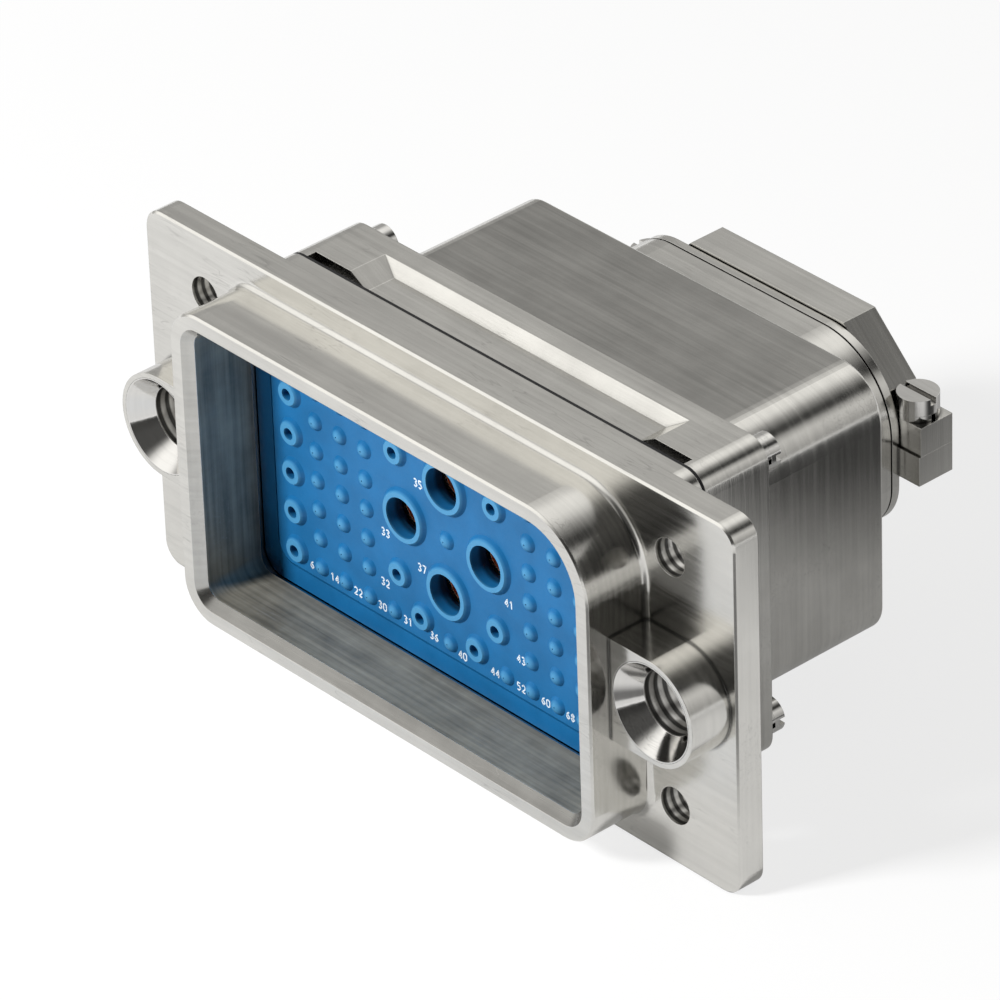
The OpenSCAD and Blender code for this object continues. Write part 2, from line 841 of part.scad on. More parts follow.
module clamp_base() {
    color(metal)
        difference() {
            union() {
                slab(neck_end_y, clamp_y)
                    rounded(neck_w, neck_h, neck_r, neck_key_r);
                mirror([0, 0, 1])
                    slab(clamp_y - weld, clamp_end_y)
                        clamp_outline();
            }
            rod(neck_end_y - cut, clamp_end_y, cable_d);
            clamp_screw_holes(clamp_screw_d + 2 * thread_gap);
            for (s = [-1, 1])
                translate([s * fixing_x, 0, -fixing_z]) {
                    rod(neck_end_y - cut, clamp_end_y + cut, clamp_screw_d + 2 * screw_gap);
                    rod(clamp_end_y - fixing_sink, clamp_end_y + cut, clamp_head_d + 2 * screw_gap);
                }
        }
}

module clamp_saddle() {
    color(metal)
        difference() {
            slab(clamp_y + saddle_gap, clamp_end_y)
                clamp_outline();
            clamp_screw_holes(clamp_screw_d + 2 * screw_gap);
        }
}

module clamp_screws() {
    color(steel)
        for (s = [-1, 1])
            translate([s * ear_mid_x, clamp_mid_y, ear_t + lock_t])
                rotate([90, 0, 0])
                    slotted_screw(clamp_screw_d, clamp_head_d, clamp_head_h, 2 * ear_t + lock_t);
}

module clamp_lock_washers() {
    color(steel)
        for (s = [-1, 1])
            translate([s * ear_mid_x, clamp_mid_y, ear_t])
                rotate([90, 0, 0])
                    lock_washer(clamp_screw_d + 2 * washer_gap, clamp_head_d);
}

module clamp_fixing_screws() {
    seat = clamp_end_y - fixing_sink;
    color(steel)
        for (s = [-1, 1])
            translate([s * fixing_x, seat, -fixing_z])
                slotted_screw(clamp_screw_d, clamp_head_d, clamp_head_h, seat - neck_end_y + fixing_grip);
}

front_shell();
guide_bushings();
interface_seal();
front_insulator();
retention_plate();
rear_insulator();
rear_grommet();
insert_retainer();
signal_contacts();
medium_contacts();
power_contacts();
joint_gasket();
backshell();
backshell_screws();
backshell_lock_washers();
backshell_washers();
clamp_base();
clamp_saddle();
clamp_screws();
clamp_lock_washers();
clamp_fixing_screws();
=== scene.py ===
"""Looks of the rectangular panel connector: finishes for its solids, printed marks, and a plain studio."""
import math

import bpy
import numpy as np
from bpy.props import FloatProperty, FloatVectorProperty, IntProperty, PointerProperty
from mathutils import Matrix, Vector


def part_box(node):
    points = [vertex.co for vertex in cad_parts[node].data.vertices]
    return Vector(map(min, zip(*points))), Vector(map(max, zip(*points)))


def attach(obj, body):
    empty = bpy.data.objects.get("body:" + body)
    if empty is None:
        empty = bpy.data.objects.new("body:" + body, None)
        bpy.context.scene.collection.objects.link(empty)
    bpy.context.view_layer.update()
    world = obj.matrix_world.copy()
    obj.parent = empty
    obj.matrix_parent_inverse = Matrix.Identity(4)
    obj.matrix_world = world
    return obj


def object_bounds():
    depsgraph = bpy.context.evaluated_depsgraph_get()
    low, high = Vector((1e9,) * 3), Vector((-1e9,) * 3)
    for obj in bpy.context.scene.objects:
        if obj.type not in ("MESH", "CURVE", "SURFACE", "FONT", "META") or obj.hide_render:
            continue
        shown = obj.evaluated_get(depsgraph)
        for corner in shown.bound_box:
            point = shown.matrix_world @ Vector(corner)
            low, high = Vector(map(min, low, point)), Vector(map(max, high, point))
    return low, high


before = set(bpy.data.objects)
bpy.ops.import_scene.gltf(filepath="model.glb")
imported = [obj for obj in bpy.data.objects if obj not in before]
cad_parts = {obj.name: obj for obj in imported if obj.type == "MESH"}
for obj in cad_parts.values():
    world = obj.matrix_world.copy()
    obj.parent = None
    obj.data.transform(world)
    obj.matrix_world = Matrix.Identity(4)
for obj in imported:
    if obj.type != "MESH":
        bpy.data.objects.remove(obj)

bl_info = {
    "name": "Panel connector looks",
    "version": (1, 0, 0),
    "blender": (4, 5, 0),
    "location": "View3D > Sidebar > Connector",
    "description": "Finishes, printed marks and studio of a rectangular panel connector",
    "category": "Object",
}

CAD_BOX = [list(corner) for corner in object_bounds()]
MM = 0.001
# Front plane of the seal's plateau, in metres
SEAL_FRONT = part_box("interface_seal")[0][1] + 0.45 * MM
# Half sizes of the hood's mouth, its chamfer, and the plane where the chamfer ends
MOUTH_X, MOUTH_Z, CHAMFER = 23.4 * MM, 13.1 * MM, 0.85 * MM
MOUTH_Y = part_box("front_shell")[0][1] + CHAMFER
# Ends of the backshell's box along Y
BOX_Y = (11.1 * MM, 27.5 * MM)
# Flange holes and guide bores: place along X and Z, radius, and pitch of their grooves
FLANGE_HOLES = (28.5 * MM, 12 * MM, 1.7 * MM, 0.8 * MM)
GUIDE_BORES = (30.4 * MM, 0.0, 2.9 * MM, 0.95 * MM)
FLOOR_Z = CAD_BOX[0][2]


def colour(name, words, default):
    """A colour property with its name, description and default."""
    return FloatVectorProperty(name=name, description=words, default=default, size=3,
                               min=0, max=1, subtype="COLOR")


def share(name, words, default):
    """A property from 0 to 1."""
    return FloatProperty(name=name, description=words, default=default, min=0, max=1,
                         subtype="FACTOR")


def length(name, words, default):
    """A length property in metres."""
    return FloatProperty(name=name, description=words, default=default, min=0, unit="LENGTH",
                         precision=6)


class ConnectorFinish(bpy.types.PropertyGroup):
    """Colours and gloss of the connector's materials"""
    metal: colour("Shell metal", "Colour of the machined shells", (0.665, 0.655, 0.625))
    steel: colour("Steel", "Colour of bushings and fasteners", (0.70, 0.69, 0.67))
    seal: colour("Seal", "Colour of the soft interface seal", (0.010, 0.122, 0.300))
    # Painted highlight: the lighter colour of the raised tops of the seal's rings and domes
    seal_top_highlight: colour("Seal tops", "Colour of the rubbed tops of rings and domes", (0.060, 0.245, 0.450))
    hood: colour("Hood inside", "Colour of the dull walls inside the hood", (0.290, 0.272, 0.225))
    insulator: colour("Insulator", "Colour of the moulded insert", (0.010, 0.045, 0.110))
    gasket: colour("Gasket", "Colour of the joint gasket", (0.016, 0.016, 0.017))
    brass: colour("Contact plating", "Colour of the plated contacts", (0.83, 0.62, 0.28))
    copper: colour("Power contacts", "Colour of the power contacts", (0.80, 0.42, 0.26))
    ink: colour("Marking ink", "Colour of the printed marks", (0.66, 0.74, 0.82))
    front_gloss: share("Front shell roughness", "Roughness of the polished front shell", 0.17)
    hood_gloss: share("Hood inside roughness", "Roughness of the walls inside the hood", 0.45)
    back_gloss: share("Backshell roughness", "Roughness of the brushed backshell", 0.18)
    steel_gloss: share("Steel roughness", "Roughness of the bright steel", 0.11)
    box_tone: share("Box top tone", "Tone of the milled faces above and below the box", 0.60)
    edge: length("Edge round", "Radius of the light that runs along broken edges", 0.08 * MM)


class ConnectorMarks(bpy.types.PropertyGroup):
    """Sizes of the printed contact numbers"""
    height: length("Digit height", "Height of a printed digit", 0.74 * MM)
    stroke: length("Stroke", "Width of a printed stroke", 0.14 * MM)
    film: length("Film", "Thickness of the ink above the seal", 0.012 * MM)
    steps: IntProperty(name="Steps", description="Points along one stroke", default=14, min=4, max=40)


class ConnectorStage(bpy.types.PropertyGroup):
    """Floor, lamp and camera"""
    floor_size: length("Floor size", "Width of the floor", 4.0)
    floor: colour("Floor", "Colour of the floor", (0.86, 0.86, 0.86))
    key_power: FloatProperty(name="Key light", description="Power of the soft lamp at the left front",
                             default=4.6, min=0, unit="POWER")
    key_size: length("Key size", "Width of the soft lamp", 0.12)
    lens: FloatProperty(name="Lens", description="Focal length of the camera in millimetres",
                        default=289.74, min=1)
    distance: length("Distance", "Distance of the camera from its target", 0.66883)


def new_group(name, inputs, outputs):
    """A shader node group with float inputs and the given outputs, and its end nodes."""
    group = bpy.data.node_groups.new(name, "ShaderNodeTree")
    for label, value in inputs:
        socket = group.interface.new_socket(label, in_out="INPUT", socket_type="NodeSocketFloat")
        socket.default_value = value
    for label, kind in outputs:
        group.interface.new_socket(label, in_out="OUTPUT", socket_type=kind)
    return group, group.nodes.new("NodeGroupInput"), group.nodes.new("NodeGroupOutput")


def add(tree, kind, values=None, links=None, **settings):
    """A node with its settings, its socket values and its incoming links."""
    node = tree.nodes.new(kind)
    for key, value in settings.items():
        setattr(node, key, value)
    for key, value in (values or {}).items():
        node.inputs[key].default_value = value
    for key, source in (links or {}).items():
        tree.links.new(source, node.inputs[key])
    return node


def maths(tree, operation, a, b=None):
    """A Math node whose operands are sockets or numbers."""
    node = tree.nodes.new("ShaderNodeMath")
    node.operation = operation
    for k, operand in enumerate((a, b)):
        if operand is None:
            continue
        if isinstance(operand, (int, float)):
            node.inputs[k].default_value = operand
        else:
            tree.links.new(operand, node.inputs[k])
    return node.outputs[0]


def span(tree, value, low, high, to_low=0.0, to_high=1.0, smooth=False):
    """Maps a value from one span to another, held at the ends."""
    node = add(tree, "ShaderNodeMapRange", {1: low, 2: high, 3: to_low, 4: to_high}, {0: value})
    if smooth:
        node.interpolation_type = "SMOOTHSTEP"
    return node.outputs[0]


def blend(tree, factor, a, b):
    """A colour mixed from two sockets or colours by a factor."""
    node = tree.nodes.new("ShaderNodeMix")
    node.data_type = "RGBA"
    tree.links.new(factor, node.inputs["Factor"])
    for k, operand in ((6, a), (7, b)):
        if isinstance(operand, bpy.types.NodeSocket):
            tree.links.new(operand, node.inputs[k])
        else:
            node.inputs[k].default_value = (*operand, 1)
    return node.outputs[2]


def grain_group():
    """Machining grain: noise drawn out along X and Z and fine along Y, or fine along Z on faces that look
    along Y."""
    group, given, out = new_group(
        "machined_grain", [("Along", 110.0), ("Across", 4200.0), ("Blotch Scale", 190.0)],
        [("Streak", "NodeSocketFloat"), ("Fine", "NodeSocketFloat"), ("Blotch", "NodeSocketFloat")])
    place = add(group, "ShaderNodeTexCoord").outputs["Object"]
    along, across = given.outputs["Along"], given.outputs["Across"]
    sides = add(group, "ShaderNodeCombineXYZ", links={0: along, 1: across, 2: along})
    ends = add(group, "ShaderNodeCombineXYZ", links={0: along, 1: along, 2: across})
    normal = add(group, "ShaderNodeSeparateXYZ",
                 links={0: add(group, "ShaderNodeNewGeometry").outputs["True Normal"]})
    facing = span(group, maths(group, "ABSOLUTE", normal.outputs[1]), 0.55, 0.85)
    streaks = []
    for scale in (sides, ends):
        spread = add(group, "ShaderNodeVectorMath", links={0: place, 1: scale.outputs[0]},
                     operation="MULTIPLY")
        wide = add(group, "ShaderNodeTexNoise", {"Scale": 0.42, "Detail": 3, "Roughness": 0.62},
                   {"Vector": spread.outputs[0]})
        fine = add(group, "ShaderNodeTexNoise", {"Scale": 1.9, "Detail": 2, "Roughness": 0.6},
                   {"Vector": spread.outputs[0]})
        streaks.append((wide.outputs[0], fine.outputs[0]))
    for k, label in enumerate(("Streak", "Fine")):
        mix = add(group, "ShaderNodeMix", links={0: facing, 2: streaks[0][k], 3: streaks[1][k]})
        group.links.new(mix.outputs[0], out.inputs[label])
    scaled = add(group, "ShaderNodeVectorMath", {3: 1.0}, {0: place, 3: given.outputs["Blotch Scale"]},
                 operation="SCALE")
    patch = add(group, "ShaderNodeTexNoise", {"Scale": 1.0, "Detail": 4, "Roughness": 0.6},
                {"Vector": scaled.outputs[0]})
    group.links.new(patch.outputs[0], out.inputs["Blotch"])
    return group


def edge_group():
    """Edges, lighter as wear and as a painted highlight: how far a normal smoothed over a small radius turns
    away from the face's own.
    """
    group, given, out = new_group("edge_wear_and_highlight", [("Radius", 0.14 * MM)],
                                  [("Edge", "NodeSocketFloat"), ("Normal", "NodeSocketVector")])
    bevel = add(group, "ShaderNodeBevel", links={"Radius": given.outputs["Radius"]}, samples=6)
    geometry = add(group, "ShaderNodeNewGeometry")
    turn = add(group, "ShaderNodeVectorMath", links={0: bevel.outputs[0], 1: geometry.outputs["Normal"]},
               operation="DOT_PRODUCT")
    group.links.new(span(group, turn.outputs["Value"], 0.995, 0.86), out.inputs["Edge"])
    group.links.new(bevel.outputs[0], out.inputs["Normal"])
    return group


def crevice_shade_group():
    """Crevices, for painted shade: how open a point is to its near surroundings, from deep inner corners to
    free faces.
    """
    group, given, out = new_group("crevice", [("Reach", 0.5 * MM)], [("Open", "NodeSocketFloat")])
    near = add(group, "ShaderNodeAmbientOcclusion", links={"Distance": given.outputs["Reach"]}, samples=8)
    group.links.new(span(group, near.outputs["AO"], 0.42, 0.88), out.inputs["Open"])
    return group


def scratch_group():
    """Fine scratches: thin lines where a drawn-out noise crosses its middle, in two directions, kept to
    patches."""
    group, given, out = new_group("fine_scratches", [("Scale", 120.0)], [("Line", "NodeSocketFloat")])
    place = add(group, "ShaderNodeTexCoord").outputs["Object"]
    where = add(group, "ShaderNodeTexNoise", {"Detail": 1.0, "Scale": 150.0}, {"Vector": place})
    patch = span(group, where.outputs[0], 0.50, 0.66)
    lines = None
    for turn, shift in ((0.7, 3.1), (-1.1, 7.7)):
        spread = add(group, "ShaderNodeMapping", {"Rotation": (turn, 0.6 * turn, turn), "Scale": (1, 12, 12),
                                                  "Location": (shift, shift, shift)}, {0: place})
        noise = add(group, "ShaderNodeTexNoise", {"Detail": 1.0}, {"Vector": spread.outputs[0],
                                                                   "Scale": given.outputs["Scale"]})
        off_middle = maths(group, "ABSOLUTE", maths(group, "SUBTRACT", noise.outputs[0], 0.5))
        line = maths(group, "MULTIPLY", span(group, off_middle, 0.012, 0.002), patch)
        lines = line if lines is None else maths(group, "MAXIMUM", lines, line)
    group.links.new(lines, out.inputs["Line"])
    return group


def mottle_group():
    """Moulded surface: soft patches and a fine pebble from two noises on the object's own coordinates."""
    group, given, out = new_group("moulded_mottle", [("Patch Scale", 260.0), ("Pebble Scale", 5200.0)],
                                  [("Patch", "NodeSocketFloat"), ("Pebble", "NodeSocketFloat")])
    place = add(group, "ShaderNodeTexCoord").outputs["Object"]
    for label, scale in (("Patch", "Patch Scale"), ("Pebble", "Pebble Scale")):
        noise = add(group, "ShaderNodeTexNoise", {"Detail": 3, "Roughness": 0.55},
                    {"Vector": place, "Scale": given.outputs[scale]})
        group.links.new(noise.outputs[0], out.inputs[label])
    return group


GROUPS = {}


def group_node(tree, name, make, **values):
    """Places a node group, built on its first use, with its own values."""
    if name not in GROUPS:
        GROUPS[name] = make()
    node = tree.nodes.new("ShaderNodeGroup")
    node.node_tree = GROUPS[name]
    for key, value in values.items():
        node.inputs[key.replace("_", " ").title()].default_value = value
    return node.outputs


def new_material(name):
    """A material with an empty Principled shader."""
    material = bpy.data.materials.new(name)
    material.use_nodes = True
    return material, material.node_tree, material.node_tree.nodes["Principled BSDF"]


def tint(base, factor):
    """A colour made lighter or darker."""
    return tuple(min(1.0, c * factor) for c in base)


def place_of(tree):
    """The object's own X, Y and Z as three sockets."""
    return add(tree, "ShaderNodeSeparateXYZ",
               links={0: add(tree, "ShaderNodeTexCoord").outputs["Object"]}).outputs


def within(tree, place, half_x, half_z):
    """How far a point lies outside a rectangle about the Y axis, negative inside it."""
    return maths(tree, "MAXIMUM", maths(tree, "SUBTRACT", maths(tree, "ABSOLUTE", place[0]), half_x),
                 maths(tree, "SUBTRACT", maths(tree, "ABSOLUTE", place[2]), half_z))


def hood_inside(tree):
    """A mask of the walls inside the hood: within its mouth's outline and behind its chamfer."""
    place = place_of(tree)
    out = within(tree, place, MOUTH_X, MOUTH_Z)
    deep = span(tree, place[1], MOUTH_Y, MOUTH_Y + 0.06 * MM)
    return maths(tree, "MULTIPLY", span(tree, out, 0.16 * MM, 0.10 * MM), deep)


def hood_chamfer(tree, rising=-1.5):
    """A mask of the mouth's chamfer: sloped, within its outer outline, between the rim's face and the inner
    walls, and rising at least as much as asked."""
    place = place_of(tree)
    out = within(tree, place, MOUTH_X + CHAMFER, MOUTH_Z + CHAMFER)
    front = span(tree, place[1], MOUTH_Y - CHAMFER + 0.01 * MM, MOUTH_Y - CHAMFER + 0.03 * MM)
    rear = span(tree, place[1], MOUTH_Y + 0.03 * MM, MOUTH_Y)
    normal = add(tree, "ShaderNodeSeparateXYZ",
                 links={0: add(tree, "ShaderNodeNewGeometry").outputs["True Normal"]})
    slope = maths(tree, "MULTIPLY", span(tree, normal.outputs[1], -0.3, -0.5),
                  span(tree, normal.outputs[2], rising, rising + 0.3))
    return maths(tree, "MULTIPLY", maths(tree, "MULTIPLY", span(tree, out, 0.02 * MM, 0.0), slope),
                 maths(tree, "MULTIPLY", front, rear))


def lower_chamfer(tree):
    """A mask of the chamfer along the mouth's lower side, which looks up and is painted darker still, as
    painted shade.
    """
    return hood_chamfer(tree, 0.25)


def bore_rings(tree, x, z, radius, pitch):
    """Turned grooves in a bore and its mirror images: a mask where a point is nearer to the axis than the
    radius, and a wave along Y from 0 to 1."""
    place = place_of(tree)
    flat = add(tree, "ShaderNodeCombineXYZ", links={0: maths(tree, "ABSOLUTE", place[0]),
                                                    2: maths(tree, "ABSOLUTE", place[2])})
    away = add(tree, "ShaderNodeVectorMath", {1: (x, 0, z)}, {0: flat.outputs[0]}, operation="DISTANCE")
    wave = maths(tree, "SINE", maths(tree, "MULTIPLY", place[1], 2 * math.pi / pitch))
    return (span(tree, away.outputs["Value"], radius + 0.03 * MM, radius + 0.02 * MM),
            span(tree, wave, -1.0, 1.0))


def box_flat_faces(tree):
    """A mask of the box's top and bottom: between its two ends, on faces that look up or down."""
    place = place_of(tree)
    normal = add(tree, "ShaderNodeSeparateXYZ",
                 links={0: add(tree, "ShaderNodeNewGeometry").outputs["True Normal"]})
    flat = span(tree, maths(tree, "ABSOLUTE", normal.outputs[2]), 0.975, 0.9995)
    front = span(tree, place[1], BOX_Y[0], BOX_Y[0] + 0.05 * MM)
    rear = span(tree, place[1], BOX_Y[1], BOX_Y[1] - 0.05 * MM)
    return maths(tree, "MULTIPLY", flat, maths(tree, "MULTIPLY", front, rear))


# Tones of metal against its own colour (edges lighter as wear and as a painted highlight, scratches, painted
# shade in crevices and in bore grooves), and how strongly scratches show
EDGE_HIGHLIGHT_TONE, SCRATCH_TONE, CREVICE_SHADE_TONE, GROOVE_SHADE_TONE = 1.08, 0.55, 0.16, 0.14
SCRATCH_SHARE = 0.40


def metal_material(name, base, rough, edge, streak=0.10, bump=0.10, across=4200.0, zones=(), rings=None):
    """Machined metal: streaks and blotches vary colour and gloss, zones may have a colour, a gloss, a
    contrast and a share of bare metal of their own, bores may have rings with painted shade in their grooves,
    edges are lighter as wear and as a painted highlight, and crevices get painted shade."""
    material, tree, shader = new_material(name)
    grain = group_node(tree, "grain", grain_group, across=across)
    edge_wear_and_shine = group_node(tree, "edge", edge_group, radius=edge)
    mix = maths(tree, "ADD", maths(tree, "MULTIPLY", grain["Streak"], 0.55),
                maths(tree, "MULTIPLY", grain["Blotch"], 0.45))
    level = span(tree, mix, 0.36, 0.64)
    body = blend(tree, level, tint(base, 1 - streak), tint(base, 1 + streak))
    gloss = span(tree, grain["Streak"], 0.2, 0.75, rough * 0.72, rough * 1.30)
    shader.inputs["Metallic"].default_value = 1
    for mask_of, tone, zone_rough, contrast, bare in zones:
        mask = mask_of(tree)
        other = blend(tree, level, tint(tone, 1 - contrast), tint(tone, 1 + contrast))
        body = blend(tree, mask, body, other)
        dull = span(tree, grain["Streak"], 0.2, 0.75, zone_rough * 0.8, zone_rough * 1.2)
        gloss = add(tree, "ShaderNodeMix", links={0: mask, 2: gloss, 3: dull}).outputs[0]
        if bare < 1:
            tree.links.new(span(tree, mask, 0.0, 1.0, 1.0, bare), shader.inputs["Metallic"])
    # Edges lighter, as wear and as a painted highlight
    face = blend(tree, edge_wear_and_shine["Edge"], body, tint(base, EDGE_HIGHLIGHT_TONE))
    scratch = maths(tree, "MULTIPLY", group_node(tree, "scratch", scratch_group)["Line"], SCRATCH_SHARE)
    face = blend(tree, scratch, face, tint(base, SCRATCH_TONE))
    # Painted shade: darker in crevices and inner corners
    face = blend(tree, group_node(tree, "crevice", crevice_shade_group)["Open"], tint(base, CREVICE_SHADE_TONE), face)
    lift = add(tree, "ShaderNodeBump", {"Strength": bump, "Distance": 0.03 * MM},
               {"Height": maths(tree, "ADD", grain["Fine"], grain["Streak"]), "Normal": edge_wear_and_shine["Normal"]})
    if rings:
        inside, wave = bore_rings(tree, *rings)
        # Painted shade: the bore's grooves are darkened along the wave
        groove_shade = maths(tree, "MULTIPLY", inside, span(tree, wave, 0.30, 0.75))
        face = blend(tree, groove_shade, face, tint(base, GROOVE_SHADE_TONE))
        gloss = add(tree, "ShaderNodeMix", {3: 0.30}, {0: inside, 2: gloss}).outputs[0]
        lift = add(tree, "ShaderNodeBump", {"Strength": 0.25, "Distance": 0.08 * MM},
                   {"Height": maths(tree, "MULTIPLY", inside, wave), "Normal": lift.outputs[0]})
    tree.links.new(face, shader.inputs["Base Color"])
    tree.links.new(gloss, shader.inputs["Roughness"])
    tree.links.new(lift.outputs[0], shader.inputs["Normal"])
    return material


def seal_heights(tree):
    """Two masks by the height over the seal's plateau: its raised tops, and the depths below its ledge."""
    place = place_of(tree)
    return (span(tree, place[1], SEAL_FRONT - 0.22 * MM, SEAL_FRONT - 0.44 * MM),
            span(tree, place[1], SEAL_FRONT + 0.35 * MM, SEAL_FRONT + 0.75 * MM))


def moulded_material(name, base, rough, spread, shine=0.35, tops=None):
    """Rubber or plastic: soft patches of tone and gloss over a fine pebble, and on the seal a painted
    highlight on its raised tops and painted shade in the depths below its ledge."""
    material, tree, shader = new_material(name)
    shader.inputs["Specular IOR Level"].default_value = shine
    mottle = group_node(tree, "mottle", mottle_group)
    level = span(tree, mottle["Patch"], 0.34, 0.66)
    body = blend(tree, level, tint(base, 1 - spread), tint(base, 1 + spread))
    if tops:
        # Painted highlight on the seal's raised tops, and painted shade in its holes and grooves below the
        # ledge
        raised, deep = seal_heights(tree)
        body = blend(tree, deep, blend(tree, raised, body, tops), tint(base, 0.25))
    tree.links.new(body, shader.inputs["Base Color"])
    tree.links.new(span(tree, mottle["Pebble"], 0.3, 0.7, rough * 0.85, min(1.0, rough * 1.15)),
                   shader.inputs["Roughness"])
    lift = add(tree, "ShaderNodeBump", {"Strength": 0.12, "Distance": 0.02 * MM},
               {"Height": mottle["Pebble"]})
    tree.links.new(lift.outputs[0], shader.inputs["Normal"])
    return material


def dress(material, *nodes):
    """Gives CAD nodes a material."""
    for name in nodes:
        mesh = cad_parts[name].data
        mesh.materials.clear()
        mesh.materials.append(material)


class CONNECTOR_OT_shells(bpy.types.Operator):
    """Finishes the front shell, the backshell, the clamp and the insert's retainer"""
    bl_idname = "connector.shells"
    bl_label = "Shell finishes"

    def execute(self, context):
        finish = context.scene.connector_finish
        front = metal_material("front_shell_metal", finish.metal, finish.front_gloss, finish.edge,
                               streak=0.07, bump=0.06,
                               zones=((hood_inside, finish.hood, finish.hood_gloss, 0.42, 0.4),
                                      # Painted shade: the mouth's chamfer is darker than the shell, and its
                                      # lower side darker still
                                      (hood_chamfer, tint(finish.metal, 0.74), 0.22, 0.15, 1),
                                      (lower_chamfer, tint(finish.metal, 0.40), 0.26, 0.18, 1)),
                               rings=FLANGE_HOLES)
        back = metal_material("backshell_metal", finish.metal, finish.back_gloss, finish.edge,
                              streak=0.11, bump=0.14,
                              # The box's top and bottom faces get a darker tone
                              zones=((box_flat_faces, tint(finish.metal, finish.box_tone),
                                      finish.back_gloss, 0.16, 1),))
        clamp = metal_material("clamp_metal", finish.metal, finish.back_gloss, finish.edge,
                               streak=0.08, bump=0.12)
        dress(front, "front_shell", "insert_retainer")
        dress(back, "backshell")
        dress(clamp, "clamp_base", "clamp_saddle")
        return {"FINISHED"}


class CONNECTOR_OT_hardware(bpy.types.Operator):
    """Finishes the guide bushings and every fastener"""
    bl_idname = "connector.hardware"
    bl_label = "Bushings and fasteners"

    def execute(self, context):
        finish = context.scene.connector_finish
        bright = metal_material("bright_steel", finish.steel, finish.steel_gloss, finish.edge * 0.6,
                                streak=0.05, bump=0.04, across=6000.0)
        turned = metal_material("bushing_steel", finish.steel, finish.steel_gloss, finish.edge * 0.6,
                                streak=0.06, bump=0.05, across=6000.0,
                                rings=GUIDE_BORES)
        dress(turned, "guide_bushings")
        dress(bright, "backshell_screws", "backshell_lock_washers", "backshell_washers",
              "clamp_screws", "clamp_lock_washers", "clamp_fixing_screws")
        return {"FINISHED"}


class CONNECTOR_OT_insert(bpy.types.Operator):
    """Finishes the seal, the insulators, the grommet, the retention plate and the gasket"""
    bl_idname = "connector.insert"
    bl_label = "Sealed insert"

    def execute(self, context):
        finish = context.scene.connector_finish
        seal = moulded_material("seal_rubber", finish.seal, 0.42, spread=0.10, shine=0.28,
                                tops=finish.seal_top_highlight)
        grommet = moulded_material("grommet_rubber", finish.seal, 0.46, spread=0.10)
        plastic = moulded_material("insulator_plastic", finish.insulator, 0.38, spread=0.08)
        gasket = moulded_material("gasket_rubber", finish.gasket, 0.62, spread=0.25)
        plate = metal_material("retention_plate_metal", finish.brass, 0.26, finish.edge * 0.4, streak=0.06)
        dress(seal, "interface_seal")
        dress(grommet, "rear_grommet")
        dress(plastic, "front_insulator", "rear_insulator")
        dress(gasket, "joint_gasket")
        dress(plate, "retention_plate")
        return {"FINISHED"}


class CONNECTOR_OT_contacts(bpy.types.Operator):
    """Finishes the signal, medium and power contacts"""
    bl_idname = "connector.contacts"
    bl_label = "Contacts"

    def execute(self, context):
        finish = context.scene.connector_finish
        brass = metal_material("contact_plating", finish.brass, 0.22, 0.05 * MM, streak=0.06, across=9000.0)
        copper = metal_material("contact_copper", finish.copper, 0.26, 0.05 * MM, streak=0.10, across=9000.0)
        dress(brass, "signal_contacts", "medium_contacts")
        dress(copper, "power_contacts")
        return {"FINISHED"}


# Width of a digit and of the gap after it, as shares of its height
DIGIT_W, DIGIT_GAP = 0.6, 0.18
# Strokes of the digits as corner points, in a cell of that width and 1 high
DIGITS = {
    "0": [[(0.3, 1), (0.05, 0.82), (0.05, 0.18), (0.3, 0), (0.55, 0.18), (0.55, 0.82), (0.3, 1)]],
    "1": [[(0.12, 0.78), (0.34, 1), (0.34, 0)]],
    "2": [[(0.05, 0.78), (0.3, 1), (0.55, 0.76), (0.5, 0.5), (0.05, 0), (0.57, 0)]],
    "3": [[(0.05, 0.9), (0.3, 1), (0.54, 0.78), (0.26, 0.54), (0.56, 0.26), (0.3, 0), (0.04, 0.12)]],
    "4": [[(0.44, 0), (0.44, 1), (0.03, 0.3), (0.6, 0.3)]],
    "5": [[(0.52, 1), (0.1, 1), (0.07, 0.56), (0.34, 0.62), (0.56, 0.32), (0.3, 0), (0.05, 0.1)]],
    "6": [[(0.5, 0.95), (0.2, 0.75), (0.05, 0.32), (0.3, 0), (0.55, 0.28), (0.32, 0.56), (0.07, 0.4)]],
    "7": [[(0.04, 1), (0.56, 1), (0.22, 0)]],
    "8": [[(0.3, 0.54), (0.08, 0.76), (0.3, 1), (0.52, 0.76), (0.3, 0.54), (0.05, 0.26), (0.3, 0),
           (0.55, 0.26), (0.3, 0.54)]],
    "9": [[(0.53, 0.6), (0.28, 0.44), (0.05, 0.72), (0.3, 1), (0.55, 0.68), (0.4, 0.25), (0.1, 0.05)]],
}
# Printed contact numbers with the places of their centres on the seal, in millimetres along X and Z
NUMBERS = [
    ("6", -17.6, -10.5), ("14", -14.7, -10.5), ("22", -11.7, -10.5), ("30", -8.6, -10.5),
    ("31", -5.4, -10.5), ("36", -2.1, -10.5), ("40", 1.45, -10.75), ("44", 5.5, -10.5),
    ("52", 8.7, -10.5), ("60", 11.7, -10.5), ("68", 14.7, -10.5),
    ("32", -8.1, -7.9), ("33", -7.8, -2.8), ("35", -3.4, 4.0), ("37", -3.3, -4.3),
    ("41", 7.5, -2.8), ("43", 8.8, -7.7)]


